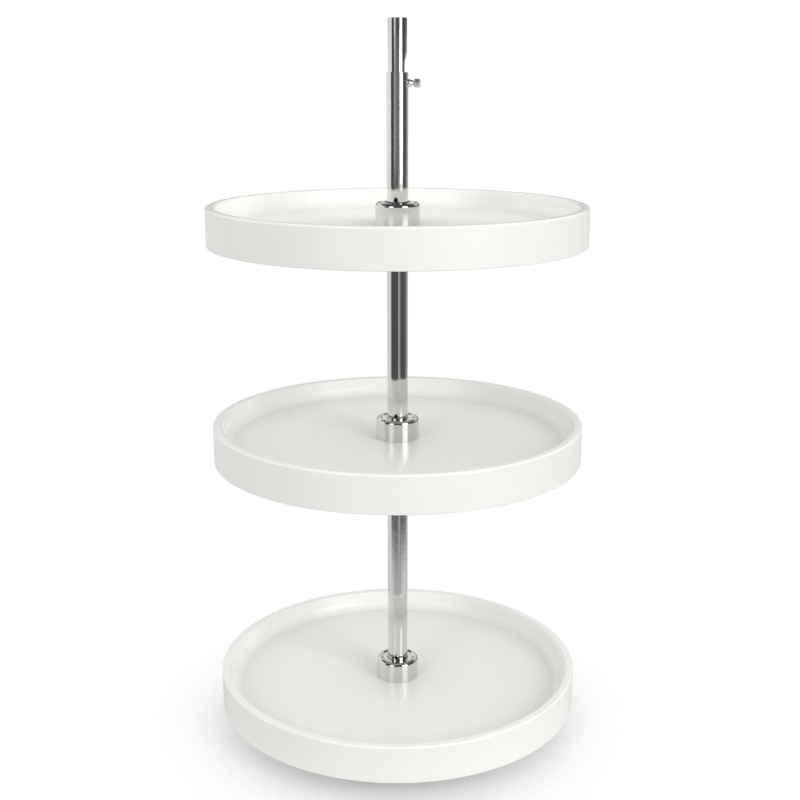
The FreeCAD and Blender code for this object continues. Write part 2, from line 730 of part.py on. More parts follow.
def check_features(document, pieces):
    """Stops if a feature failed, a cut or pattern changed nothing, or a piece isn't one solid."""
    for item in document.Objects:
        if "Invalid" in item.State or "Error" in item.State:
            raise RuntimeError(f"{item.Label} failed: {item.State}")
        if item.isDerivedFrom("Sketcher::SketchObject") and not item.FullyConstrained:
            raise RuntimeError(f"{item.Label} is not fully constrained")
    for piece in pieces:
        volume = 0.0
        for feature in piece.Group if piece.isDerivedFrom("PartDesign::Body") else []:
            if not feature.isDerivedFrom("PartDesign::Feature"):
                continue
            if math.isclose(feature.Shape.Volume, volume, rel_tol=1e-9):
                raise RuntimeError(f"{feature.Label} changes nothing")
            volume = feature.Shape.Volume
        shape = piece.Shape
        if shape.isNull() or not shape.isValid() or len(shape.Solids) != 1:
            raise RuntimeError(f"{piece.Label} is not one valid solid")


def build():
    """Builds the document and writes each piece to its own file."""
    document = FreeCAD.newDocument(DOCUMENT)
    s = make_sheet(document)
    add_shared_sizes(s)
    pieces = [
        make_floor_plate(document, s),
        make_bearing_cup(document, s),
        make_foot_plug(document, s),
        make_lower_post(document, s),
        make_upper_post(document, s),
        make_top_bushing(document, s),
        make_lock_boss(document, s),
        make_lock_screw(document, s),
    ]
    for tier, rim in (("lower", s.lower_rim), ("middle", s.middle_rim), ("upper", s.upper_rim)):
        pieces += make_tier(document, s, tier, rim)
    document.recompute()
    check_features(document, pieces)
    os.makedirs(PARTS_FOLDER, exist_ok=True)
    for piece in pieces:
        piece.Shape.exportStep(os.path.join(PARTS_FOLDER, f"{piece.Label}.step"))
        box = piece.Shape.BoundBox
        print(f"{piece.Label}: {piece.Shape.Volume:.0f} mm3, "
              f"z {box.ZMin:.2f} to {box.ZMax:.2f}, x {box.XMin:.2f} to {box.XMax:.2f}")


build()
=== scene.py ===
"""Looks of the three-tier pole lazy susan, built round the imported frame. Metres, +Z up."""

import json
from math import atan2, cos, pi, radians, sin, tan

import bmesh
import bpy
from mathutils import Matrix, Vector


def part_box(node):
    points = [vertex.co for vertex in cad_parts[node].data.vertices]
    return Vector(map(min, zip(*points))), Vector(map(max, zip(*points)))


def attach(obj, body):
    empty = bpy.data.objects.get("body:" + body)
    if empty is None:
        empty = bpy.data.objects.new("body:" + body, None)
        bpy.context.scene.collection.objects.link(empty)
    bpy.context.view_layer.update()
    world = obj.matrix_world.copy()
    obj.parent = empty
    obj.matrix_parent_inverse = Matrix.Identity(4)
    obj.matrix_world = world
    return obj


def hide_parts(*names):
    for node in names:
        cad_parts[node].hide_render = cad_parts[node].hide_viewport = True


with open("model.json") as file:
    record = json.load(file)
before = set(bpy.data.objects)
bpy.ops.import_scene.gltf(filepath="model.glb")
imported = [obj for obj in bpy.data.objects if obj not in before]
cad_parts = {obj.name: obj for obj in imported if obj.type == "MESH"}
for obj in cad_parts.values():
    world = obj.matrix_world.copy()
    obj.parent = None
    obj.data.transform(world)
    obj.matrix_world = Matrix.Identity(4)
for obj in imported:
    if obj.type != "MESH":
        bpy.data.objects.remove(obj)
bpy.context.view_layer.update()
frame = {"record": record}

TIERS = ("lower", "middle", "upper")
MM = 0.001

# Mouldings, as distances inside each tray (its outside, rim and skirt come from the frame).
TRAY_DEPTH = 24 * MM
TRAY_WALL = 3 * MM
RIM_WIDTH = 11 * MM
RIM_ROUND = 2.8 * MM
INNER_LEAN = 1.6 * MM
FLOOR_ROUND = 13 * MM
SMALL_ROUND = 0.8 * MM
RIB_THICKNESS = 2.4 * MM
RIB_TIP_THICKNESS = 1.7 * MM
RIB_RISE = 4 * MM
RIB_COUNT = 18
RING_RIB_RADII = (160 * MM, 90 * MM)
HUB_BOSS_RISE = 20 * MM
HUB_BOSS_DROP = 11 * MM
CAP_STEP_HEIGHT = 4 * MM
CAP_DISH_DEPTH = 1.4 * MM

POST_WALL = 1.2 * MM
CUP_WALL = 2.3 * MM
SPIGOT_RADIUS = 3.6 * MM
SEAT_GAP = 0.05 * MM  # between pieces fixed to each other
RUN_GAP = 0.08 * MM  # between pieces that turn on each other
PIN_TURN = radians(-8)
FINE = 192  # divisions round a small turned piece
WIDE = 288  # divisions round a tray
WELD = 0.001 * MM  # corners closer than this are one


# ---------------------------------------------------------------- meshes


def rounded_outline(corners, steps=7):
    """Points of a closed outline of (across, up[, radius]) corners, with arcs where rounded."""
    points = []
    count = len(corners)
    for i, corner in enumerate(corners):
        spot = Vector(corner[:2])
        if len(corner) == 2:
            points.append(spot)
            continue
        back = (Vector(corners[i - 1][:2]) - spot).normalized()
        ahead = (Vector(corners[(i + 1) % count][:2]) - spot).normalized()
        half = back.angle(ahead) / 2
        centre = spot + (back + ahead).normalized() * corner[2] / sin(half)
        first = spot + back * corner[2] / tan(half) - centre
        sweep = (pi - 2 * half) * (1 if back.cross(ahead) < 0 else -1)
        for step in range(steps + 1):
            points.append(centre + Matrix.Rotation(sweep * step / steps, 2) @ first)
    return points


def new_object(name, mesh_maker):
    """An object whose mesh is what mesh_maker puts in a bmesh."""
    mesh = bpy.data.meshes.new(name)
    work = bmesh.new()
    mesh_maker(work)
    bmesh.ops.recalc_face_normals(work, faces=work.faces)
    work.to_mesh(mesh)
    work.free()
    piece = bpy.data.objects.new(name, mesh)
    bpy.context.scene.collection.objects.link(piece)
    return piece


def turn_outline(work, points, divisions):
    """Turns a closed outline round the Z axis. Points on the axis become one vertex."""
    rings = []
    for point in points:
        if point.x < 1e-9:
            rings.append([work.verts.new((0, 0, point.y))] * divisions)
            continue
        ring = []
        for step in range(divisions):
            angle = 2 * pi * step / divisions
            ring.append(work.verts.new((point.x * cos(angle), point.x * sin(angle), point.y)))
        rings.append(ring)
    for ring, following in zip(rings, rings[1:] + rings[:1]):
        for step in range(divisions):
            after = (step + 1) % divisions
            quad = (ring[step], ring[after], following[after], following[step])
            corners = list(dict.fromkeys(quad))
            if len(corners) > 2:
                work.faces.new(corners)


def turned(name, corners, divisions=FINE, steps=7):
    """A turned piece round the Z axis."""
    points = rounded_outline(corners, steps)
    return new_object(name, lambda work: turn_outline(work, points, divisions))


def cut(piece, cutters):
    """Cuts the cutters out of a piece for good and removes them."""
    for cutter in cutters:
        modifier = piece.modifiers.new("cut", "BOOLEAN")
        modifier.object = cutter
        modifier.operation = "DIFFERENCE"
        modifier.solver = "EXACT"
    graph = bpy.context.evaluated_depsgraph_get()
    result = bpy.data.meshes.new_from_object(piece.evaluated_get(graph))
    work = bmesh.new()
    work.from_mesh(result)
    bmesh.ops.remove_doubles(work, verts=work.verts, dist=WELD)
    bmesh.ops.dissolve_degenerate(work, edges=work.edges, dist=WELD)
    work.to_mesh(result)
    work.free()
    piece.modifiers.clear()
    piece.data = result
    for cutter in cutters:
        bpy.data.objects.remove(cutter)


def box_cutter(low, high, turn=0.0):
    """A block to cut with, between two corners, turned round the Z axis."""

    def build(work):
        bmesh.ops.create_cube(work, size=1)
        middle = (Vector(low) + Vector(high)) / 2
        size = Vector(high) - Vector(low)
        bmesh.ops.scale(work, vec=size, verts=work.verts)
        bmesh.ops.translate(work, vec=middle, verts=work.verts)
        bmesh.ops.rotate(work, matrix=Matrix.Rotation(turn, 3, "Z"), verts=work.verts)

    return new_object("cutter", build)


def rod_cutter(radius, low, high, matrix, divisions=64):
    """A rod to cut with, along Z from low to high before the matrix is applied."""
    cutter = turned("cutter", [(0, low), (radius, low), (radius, high), (0, high)], divisions)
    cutter.data.transform(matrix)
    return cutter


def join(piece, other):
    """Makes the other piece's mesh a part of the first piece."""
    both = [piece, other]
    with bpy.context.temp_override(active_object=piece, selected_editable_objects=both):
        bpy.ops.object.join()


def smooth(piece, sharp_degrees=32):
    """Smooth shading with crisp corners, and flats that stay flat beside their roundings."""
    piece.data.shade_smooth()
    piece.data.set_sharp_from_angle(angle=radians(sharp_degrees))
    weighting = piece.modifiers.new("flat_faces", "WEIGHTED_NORMAL")
    weighting.keep_sharp = True
    weighting.weight = 90


def place(piece, node, material, matrix=None):
    """Puts a finished piece in for a CAD node: on its body, in its material."""
    if matrix is not None:
        piece.data.transform(matrix)
    smooth(piece)
    piece.data.materials.clear()
    piece.data.materials.append(material)
    body = [name for name, nodes in frame["record"]["behaviour"]["bodies"].items() if node in nodes]
    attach(piece, body[0])
    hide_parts(node)
    return piece


def height(node):
    """Lowest and highest Z of a CAD node."""
    low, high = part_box(node)
    return low.z, high.z


# ---------------------------------------------------------------- materials


class Finish:
    """A Principled material whose colour, roughness and relief come from noise."""

    def __init__(self, name, colour, roughness, metallic=0.0):
        self.material = bpy.data.materials.new(name)
        self.material.use_nodes = True
        self.nodes = self.material.node_tree.nodes
        self.links = self.material.node_tree.links
        self.shader = self.nodes["Principled BSDF"]
        self.shader.inputs["Base Color"].default_value = (*colour, 1)
        self.shader.inputs["Roughness"].default_value = roughness
        self.shader.inputs["Metallic"].default_value = metallic
        self.place = self.nodes.new("ShaderNodeTexCoord")

    def noise(self, grain, detail=2.0, stretch=(1, 1, 1)):
        """Noise with features about as large as grain, in metres, drawn out along the axes."""
        mapping = self.nodes.new("ShaderNodeMapping")
        mapping.inputs["Scale"].default_value = [1 / part for part in stretch]
        texture = self.nodes.new("ShaderNodeTexNoise")
        texture.inputs["Scale"].default_value = 1 / grain
        texture.inputs["Detail"].default_value = detail
        self.links.new(self.place.outputs["Object"], mapping.inputs["Vector"])
        self.links.new(mapping.outputs["Vector"], texture.inputs["Vector"])
        return texture.outputs["Fac"]

    def vary_colour(self, pattern, low, high):
        """Base colour between two colours, as the pattern goes from dark to light."""
        mix = self.nodes.new("ShaderNodeMix")
        mix.data_type = "RGBA"
        mix.inputs["A"].default_value = (*low, 1)
        mix.inputs["B"].default_value = (*high, 1)
        self.links.new(pattern, mix.inputs["Factor"])
        self.links.new(mix.outputs["Result"], self.shader.inputs["Base Color"])

    def vary_roughness(self, pattern, low, high):
        """Roughness between two values, over the middle of the pattern's range."""
        spread = self.nodes.new("ShaderNodeMapRange")
        spread.inputs["From Min"].default_value = 0.3
        spread.inputs["From Max"].default_value = 0.7
        spread.inputs["To Min"].default_value = low
        spread.inputs["To Max"].default_value = high
        self.links.new(pattern, spread.inputs["Value"])
        self.links.new(spread.outputs["Result"], self.shader.inputs["Roughness"])

    def relief(self, *layers):
        """Bumps, each a pattern and the height in metres from its dark to its light."""
        normal = None
        for pattern, rise in layers:
            bump = self.nodes.new("ShaderNodeBump")
            bump.inputs["Distance"].default_value = rise
            self.links.new(pattern, bump.inputs["Height"])
            if normal is not None:
                self.links.new(normal, bump.inputs["Normal"])
            normal = bump.outputs["Normal"]
        self.links.new(normal, self.shader.inputs["Normal"])


def white_polymer():
    """Moulded white plastic: semi-gloss, a faint texture and slow drifts of shade."""
    finish = Finish("white_polymer", (0.80, 0.803, 0.772), 0.3)
    finish.vary_colour(finish.noise(0.05, 4), (0.795, 0.799, 0.768), (0.807, 0.811, 0.78))
    finish.vary_roughness(finish.noise(0.02, 4), 0.235, 0.268)
    finish.relief((finish.noise(0.002, 2), 0.000004), (finish.noise(0.03, 2), 0.00001))
    return finish.material


def chrome(name, peel, drawn_out, roughness=0.03):
    """Bright chrome plate over metal with an uneven surface, peel metres high."""
    finish = Finish(name, (0.725, 0.745, 0.72), roughness, metallic=1.0)
    finish.vary_colour(finish.noise(0.03, 3, drawn_out), (0.705, 0.725, 0.7), (0.755, 0.775, 0.75))
    finish.vary_roughness(finish.noise(0.006, 4, drawn_out), roughness, roughness + 0.05)
    finish.relief(
        (finish.noise(0.0035, 2, drawn_out), peel),
        (finish.noise(0.0006, 2, (1, 1, 14)), peel * 0.03),
    )
    return finish.material


def nylon():
    """Natural nylon: off-white and matt."""
    finish = Finish("nylon", (0.76, 0.76, 0.71), 0.45)
    finish.vary_colour(finish.noise(0.008, 4), (0.72, 0.72, 0.67), (0.79, 0.79, 0.745))
    finish.vary_roughness(finish.noise(0.003, 3), 0.4, 0.52)
    finish.relief((finish.noise(0.0007, 3), 0.00001))
    return finish.material


def zinc_plate():
    """Zinc-plated steel sheet: cool grey with cloudy patches and fine rolling lines."""
    finish = Finish("zinc_plate", (0.5, 0.52, 0.54), 0.32, metallic=1.0)
    finish.vary_colour(finish.noise(0.012, 6), (0.42, 0.44, 0.46), (0.6, 0.615, 0.62))
    finish.vary_roughness(finish.noise(0.005, 5), 0.29, 0.42)
    finish.relief(
        (finish.noise(0.0005, 3, (30, 1, 1)), 0.000008),
        (finish.noise(0.0016, 2), 0.00001),
    )
    return finish.material


def spring_steel():
    """Polished spring steel, lightly marked along its length."""
    finish = Finish("spring_steel", (0.66, 0.66, 0.67), 0.2, metallic=1.0)
    finish.vary_colour(finish.noise(0.002, 4), (0.6, 0.6, 0.61), (0.72, 0.72, 0.73))
    finish.vary_roughness(finish.noise(0.0012, 3), 0.14, 0.26)
    finish.relief((finish.noise(0.0004, 2, (1, 20, 1)), 0.000006))
    return finish.material


def painted_bore_shade():
    """Painted shade for the bore of a rolled steel pin, also laid on its cut ends: dark, dull and
    cloudy.
    """
    # the near-black colour is painted shade, not the steel's own colour
    finish = Finish("painted_bore_shade", (0.05, 0.05, 0.048), 0.6)
    finish.vary_colour(finish.noise(0.002, 4), (0.035, 0.035, 0.033), (0.065, 0.065, 0.062))
    finish.vary_roughness(finish.noise(0.001, 3), 0.5, 0.7)
    finish.relief((finish.noise(0.0005, 3), 0.000008))
    return finish.material


# ---------------------------------------------------------------- shared places

POST_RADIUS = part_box("lower_post")[1].x
RUN_RADIUS = POST_RADIUS + RUN_GAP
CAP_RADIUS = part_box("lower_hub_cap")[1].x
TRAY_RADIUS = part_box("lower_tray")[1].x
LOCK_LEVEL = sum(height("lock_screw")) / 2
BOSS_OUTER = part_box("lower_hub_bushing")[1].x
BORE = POST_RADIUS - POST_WALL
PIN_RADIUS = (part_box("lower_retaining_pin")[1].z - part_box("lower_retaining_pin")[0].z) / 2
TO_X = Matrix.Rotation(pi / 2, 4, "Y")
TO_PIN = Matrix.Rotation(PIN_TURN, 4, "Z") @ Matrix.Rotation(pi / 2, 4, "X")


# ---------------------------------------------------------------- pieces


def pin_levels():
    """Heights of all the cross pins' axes."""
    kinds = ("carrier_pin", "retaining_pin")
    return [height(f"{tier}_{kind}")[1] - PIN_RADIUS for tier in TIERS for kind in kinds]


def tray_corners(rim, skirt_foot):
    """Outline of a tray's shell with its hub bosses and ring ribs."""
    floor = rim - TRAY_DEPTH
    under = floor - TRAY_WALL
    rim_inner = TRAY_RADIUS - RIM_WIDTH
    wall_foot = rim_inner - INNER_LEAN
    skirt_inner = TRAY_RADIUS - TRAY_WALL
    bore = BOSS_OUTER - TRAY_WALL
    cap_step = CAP_RADIUS - 1.6 * MM - SEAT_GAP
    ring_ribs = []
    for radius in RING_RIB_RADII:
        ring_ribs += [
            (radius + RIB_THICKNESS / 2, under, SMALL_ROUND),
            (radius + RIB_TIP_THICKNESS / 2, skirt_foot + RIB_RISE, SMALL_ROUND / 2),
            (radius - RIB_TIP_THICKNESS / 2, skirt_foot + RIB_RISE, SMALL_ROUND / 2),
            (radius - RIB_THICKNESS / 2, under, SMALL_ROUND),
        ]
    return [
        (bore, floor + HUB_BOSS_RISE),
        (BOSS_OUTER, floor + HUB_BOSS_RISE, SMALL_ROUND),
        (BOSS_OUTER, floor + CAP_STEP_HEIGHT),
        (cap_step, floor + CAP_STEP_HEIGHT, SMALL_ROUND),
        (cap_step, floor),
        (wall_foot, floor, FLOOR_ROUND),
        (rim_inner, rim, RIM_ROUND),
        (TRAY_RADIUS, rim, RIM_ROUND),
        (TRAY_RADIUS, skirt_foot, SMALL_ROUND),
        (skirt_inner, skirt_foot, SMALL_ROUND),
        (skirt_inner, rim - TRAY_WALL, SMALL_ROUND),
        (rim_inner + TRAY_WALL, rim - TRAY_WALL, SMALL_ROUND),
        (wall_foot + TRAY_WALL, under, FLOOR_ROUND + TRAY_WALL),
        *ring_ribs,
        (BOSS_OUTER, under, SMALL_ROUND),
        (BOSS_OUTER, under - HUB_BOSS_DROP),
        (bore, under - HUB_BOSS_DROP),
    ]


def rib_corners(rim, skirt_foot):
    """Outline of one radial rib, whose upper edge lies inside the shell's wall."""
    half_wall = TRAY_WALL / 2
    floor_middle = rim - TRAY_DEPTH - half_wall
    rim_inner = TRAY_RADIUS - RIM_WIDTH
    rim_under = rim - TRAY_WALL + half_wall
    hub_foot = rim - TRAY_DEPTH - TRAY_WALL - HUB_BOSS_DROP + 1 * MM
    step = BOSS_OUTER + 3 * MM
    return [
        (BOSS_OUTER - half_wall, hub_foot),
        (step, hub_foot, SMALL_ROUND),
        (step, skirt_foot + RIB_RISE, SMALL_ROUND),
        (TRAY_RADIUS - half_wall, skirt_foot + RIB_RISE),
        (TRAY_RADIUS - half_wall, rim_under),
        (rim_inner + half_wall, rim_under),
        (rim_inner - INNER_LEAN + half_wall, floor_middle, FLOOR_ROUND + half_wall),
        (BOSS_OUTER - half_wall, floor_middle),
    ]


def add_ribs(work, rim, skirt_foot):
    """Adds the radial ribs, each thinner at its lower edge so that it leaves the mould."""
    points = rounded_outline(rib_corners(rim, skirt_foot))
    foot, top = skirt_foot + RIB_RISE, rim - TRAY_DEPTH
    for index in range(RIB_COUNT):
        turn = Matrix.Rotation(2 * pi * index / RIB_COUNT, 3, "Z")
        sides = []
        for side in (-1, 1):
            flank = []
            for point in points:
                share = min(max((point.y - foot) / (top - foot), 0), 1)
                half = (RIB_TIP_THICKNESS + (RIB_THICKNESS - RIB_TIP_THICKNESS) * share) / 2
                flank.append(work.verts.new(turn @ Vector((point.x, side * half, point.y))))
            sides.append(flank)
        left, right = sides
        work.faces.new(left)
        work.faces.new(reversed(right))
        for i in range(len(points)):
            after = (i + 1) % len(points)
            work.faces.new((left[i], right[i], right[after], left[after]))


def make_tray(tier, material):
    """A moulded tray."""
    node = f"{tier}_tray"
    skirt_foot, rim = height(node)
    shell = rounded_outline(tray_corners(rim, skirt_foot))

    def build(work):
        turn_outline(work, shell, WIDE)
        add_ribs(work, rim, skirt_foot)

    return place(new_object(f"{tier}_tray_moulding", build), node, material)


def make_hub_cap(tier, material):
    """A plated cap whose round shoulder falls to a dished top round the post."""
    node = f"{tier}_hub_cap"
    foot, crest = height(node)
    wall, shoulder = 1.6 * MM, 4.6 * MM
    hole = POST_RADIUS + 0.6 * MM
    dish = crest - CAP_DISH_DEPTH
    crest_inner = CAP_RADIUS - shoulder - 0.6 * MM
    dish_radius = crest_inner - 2.4 * MM
    aside = wall / 4
    corners = [
        (CAP_RADIUS, foot, 0.4 * MM),
        (CAP_RADIUS, crest, shoulder),
        (crest_inner, crest, 1 * MM),
        (dish_radius, dish, 1.5 * MM),
        (hole, dish, 0.5 * MM),
        (hole, dish - wall, 0.5 * MM),
        (dish_radius + aside, dish - wall),
        (crest_inner + aside, crest - wall),
        (CAP_RADIUS - wall, crest - wall, shoulder - wall),
        (CAP_RADIUS - wall, foot, 0.4 * MM),
    ]
    return place(turned(f"{tier}_hub_cap_shell", corners, steps=12), node, material)


def make_hub_bushing(tier, material):
    """The flanged sleeve that a tray turns on."""
    node = f"{tier}_hub_bushing"
    foot, top = height(node)
    foot += RUN_GAP / 2  # the CAD's stands on the carrier ring, and here the two flats part
    sleeve = BOSS_OUTER - TRAY_WALL - SEAT_GAP
    flange = 3 * MM
    corners = [
        (RUN_RADIUS, top, 0.5 * MM),
        (sleeve, top, 0.5 * MM),
        (sleeve, foot + flange),
        (BOSS_OUTER, foot + flange, 0.4 * MM),
        (BOSS_OUTER, foot, 0.4 * MM),
        (RUN_RADIUS, foot, 0.4 * MM),
    ]
    return place(turned(f"{tier}_bushing_sleeve", corners), node, material)


def make_carrier_ring(tier, material):
    """The ring that a bushing runs on, grooved underneath to sit on its pin."""
    node = f"{tier}_carrier_ring"
    foot, top = height(node)
    corners = [
        (RUN_RADIUS, top, 0.4 * MM),
        (BOSS_OUTER, top, 0.5 * MM),
        (BOSS_OUTER, foot, 0.7 * MM),
        (RUN_RADIUS, foot, 0.4 * MM),
    ]
    ring = turned(f"{tier}_carrier_ring_turning", corners)
    half, depth = PIN_RADIUS + SEAT_GAP, 5 * MM
    reach = 2 * BOSS_OUTER
    groove = box_cutter((-half, -reach, foot - depth), (half, reach, foot + depth), PIN_TURN)
    cut(ring, [groove])
    return place(ring, node, material)


def make_cross_pin(node, half_length, material, bore_shade_material):
    """A slit spring pin with chamfered ends, bright outside, with painted shade inside and on its
    cut ends.
    """
    level = height(node)[1] - PIN_RADIUS
    bore, edge, half_slit = 2.25 * MM, 0.5 * MM, 0.5 * MM
    corners = [
        (bore, -half_length, 0.1 * MM),
        (PIN_RADIUS - edge, -half_length, 0.1 * MM),
        (PIN_RADIUS, -half_length + edge, 0.3 * MM),
        (PIN_RADIUS, half_length - edge, 0.3 * MM),
        (PIN_RADIUS - edge, half_length, 0.1 * MM),
        (bore, half_length, 0.1 * MM),
    ]
    pin = turned(f"{node}_tube", corners, 72, steps=3)
    past_end = half_length + MM
    cut(pin, [box_cutter((-half_slit, -2 * PIN_RADIUS, -past_end), (half_slit, 0, past_end))])
    faces = pin.data.polygons
    # the faces in the bore and on the cut ends take the dark material: painted shade
    inside = [face.index for face in faces if face.center.xy.length < PIN_RADIUS - edge]
    place(pin, node, material, Matrix.Translation((0, 0, level)) @ TO_PIN)
    pin.data.materials.append(bore_shade_material)
    for index in inside:
        pin.data.polygons[index].material_index = 1
    return pin


def round_normals(piece, radii):
    """Gives the faces that lie on the Z axis's cylinders the true normals of a cylinder."""
    mesh = piece.data
    normals = []
    tolerance, least_facing = 0.02 * MM, 0.97
    for polygon in mesh.polygons:
        for index in polygon.vertices:
            spot = mesh.vertices[index].co
            radial = Vector((spot.x, spot.y, 0)).normalized()
            facing = polygon.normal.dot(radial)
            on_wall = any(abs(spot.xy.length - radius) < tolerance for radius in radii)
            if on_wall and abs(facing) > least_facing:
                normals.append(radial if facing > 0 else -radial)
            else:
                normals.append(Vector((0, 0, 0)))
    mesh.normals_split_custom_set(normals)


def make_lower_post(material):
    """The thick tube, drilled right through for each pin and on one side for the boss."""
    foot, mouth = height("lower_post")
    lip = 0.35 * MM
    corners = [
        (BORE, foot, lip),
        (POST_RADIUS, foot, lip),
        (POST_RADIUS, mouth, lip),
        (BORE, mouth, lip),
    ]
    post = turned("lower_post_tube", corners, steps=5)
    pin_hole, boss_hole = PIN_RADIUS + SEAT_GAP, SPIGOT_RADIUS + SEAT_GAP
    reach = 2 * POST_RADIUS
    cutters = []
    for level in pin_levels():
        through = Matrix.Translation((0, 0, level)) @ TO_PIN
        cutters.append(rod_cutter(pin_hole, -reach, reach, through))
    boss = Matrix.Translation((0, 0, LOCK_LEVEL)) @ TO_X
    cutters.append(rod_cutter(boss_hole, 0, reach, boss))
    cut(post, cutters)
    place(post, "lower_post", material)
    post.modifiers.clear()
    round_normals(post, (BORE, POST_RADIUS))
    return post


def make_upper_post(material):
    """The thin tube that telescopes, with a flat pressed into the thumb screw's side."""
    foot, top = height("upper_post")
    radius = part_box("upper_post")[1].y
    flat_depth, ramp = 2.4 * MM, 11.2 * MM
    ramp_top = top - 39.5 * MM
    below, above = ramp * 1.15, ramp * 0.08
    blend = flat_depth
    rows = 28
    lip = 0.3 * MM

    def wall(reach):
        """Corners up one side of the tube, close together along the ramp."""
        shares = [row / rows for row in range(rows + 1)]
        return [(reach, ramp_top - below * (1 - share) + above) for share in shares]

    corners = [
        (radius - POST_WALL, foot, lip),
        (radius, foot, lip),
        *wall(radius),
        (radius, top, lip),
        (radius - POST_WALL, top, lip),
        *reversed(wall(radius - POST_WALL)),
    ]
    post = turned("upper_post_tube", corners, steps=4)
    for vertex in post.data.vertices:
        spot = vertex.co
        share = min(max((ramp_top - spot.z) / ramp, 0), 1)
        eased = share * share * (3 - 2 * share)
        if eased == 0:
            continue
        limit = spot.xy.length - flat_depth * eased
        over = spot.x - limit
        if over > -blend:
            spot.x -= over if over > blend else (over + blend) ** 2 / (4 * blend)
    return place(post, "upper_post", material)


def make_top_bushing(material):
    """The bushing in the top end of the upper post."""
    foot, top = height("top_bushing")
    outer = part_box("top_bushing")[1].x
    bore, mouth = 5.1 * MM, 0.8 * MM
    corners = [
        (bore, foot, 0.4 * MM),
        (outer, foot, 0.4 * MM),
        (outer, top, 0.3 * MM),
        (bore + mouth, top, 0.2 * MM),
        (bore, top - mouth, 0.4 * MM),
    ]
    return place(turned("top_bushing_turning", corners), "top_bushing", material)


def make_lock_boss(material):
    """The threaded boss: a cone that narrows to the screw, shaped to the post at its foot."""
    low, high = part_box("lock_boss")
    bore, wide, nose = 2.55 * MM, 4.75 * MM, 3.1 * MM
    barrel_end, barrel_foot = POST_RADIUS + 1 * MM, POST_RADIUS - 3 * MM
    reach = 20 * MM
    barrel = turned("lock_boss_barrel", [
        (bore, barrel_foot),
        (bore, high.x, 0.2 * MM),
        (nose, high.x, 0.3 * MM),
        (wide, barrel_end, 1.2 * MM),
        (wide, barrel_foot),
    ], 96)
    barrel.data.transform(TO_X)
    cut(barrel, [rod_cutter(POST_RADIUS, -reach, reach, Matrix.Identity(4), FINE)])
    spigot = turned("lock_boss_spigot", [
        (bore, low.x),
        (bore, POST_RADIUS),
        (SPIGOT_RADIUS, POST_RADIUS),
        (SPIGOT_RADIUS, low.x, 0.3 * MM),
    ], 96)
    spigot.data.transform(TO_X)
    join(barrel, spigot)
    return place(barrel, "lock_boss", material, Matrix.Translation((0, 0, LOCK_LEVEL)))


def thread_ridge(radius, depth, pitch, start, end, divisions=48):
    """A helical ridge along Z, as a mesh maker for new_object."""
    turns = (end - start) / pitch
    steps = int(divisions * turns)
    root = radius - depth
    foot = root - 0.1 * MM  # inside the shank, so that the ridge grows out of it
    profile = ((0, -0.42), (1, -0.07), (1, 0.07), (0, 0.42))  # whether at the crest, and pitches up

    def build(work):
        sections = []
        for step in range(steps + 1):
            angle = 2 * pi * step / divisions
            middle = start + pitch * step / divisions
            fade = min(1, step / divisions * 2, (steps - step) / divisions * 2)
            section = []
            for at_crest, shift in profile:
                reach = root + depth * fade if at_crest else foot
                spot = (reach * cos(angle), reach * sin(angle), middle + shift * pitch)
                section.append(work.verts.new(spot))
            sections.append(section)
        for before, after in zip(sections, sections[1:]):
            for i in range(4):
                beside = (i + 1) % 4
                work.faces.new((before[i], before[beside], after[beside], after[i]))
        work.faces.new(sections[0])
        work.faces.new(sections[-1])

    return build


def make_lock_screw(material):
    """The thumb screw: threaded shank and a round head with a straight knurl and a slot."""
    low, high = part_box("lock_screw")
    shank, head = 2.5 * MM, 5.1 * MM
    thread_depth, pitch = 0.4 * MM, 0.8 * MM
    root = shank - thread_depth
    head_start = high.x - 7.7 * MM
    edge, rows, knurls, divisions = 2.3 * MM, 10, 24, 240
    knurl_depth, knurl_foot = 0.2 * MM, head - 0.8 * MM
    half_slot, slot_depth, slot_reach = 0.6 * MM, 1.3 * MM, 10 * MM
    thread_start = low.x + 0.3 * MM
    band_start, band_rise = head_start + edge, high.x - head_start - 2 * edge
    band = [(head, band_start + band_rise * row / rows) for row in range(rows + 1)]
    screw = turned("lock_screw_turning", [
        (0, low.x),
        (root, low.x, 0.4 * MM),
        (root, head_start),
        (head, head_start, edge),
        *band,
        (head, high.x, edge),
        (0, high.x),
    ], divisions, steps=12)
    for vertex in screw.data.vertices:
        spot = vertex.co
        reach = spot.xy.length
        if reach > knurl_foot:
            wave = 0.5 + 0.5 * cos(knurls * atan2(spot.y, spot.x))
            spot.xy = spot.xy * (1 - knurl_depth * wave ** 2 / reach)
    slot_foot = (-slot_reach, -half_slot, high.x - slot_depth)
    cut(screw, [box_cutter(slot_foot, (slot_reach, half_slot, high.x + MM))])
    ridge = thread_ridge(shank, thread_depth, pitch, thread_start, head_start)
    thread = new_object("lock_screw_thread", ridge)
    join(screw, thread)
    return place(screw, "lock_screw", material, Matrix.Translation((0, 0, LOCK_LEVEL)) @ TO_X)


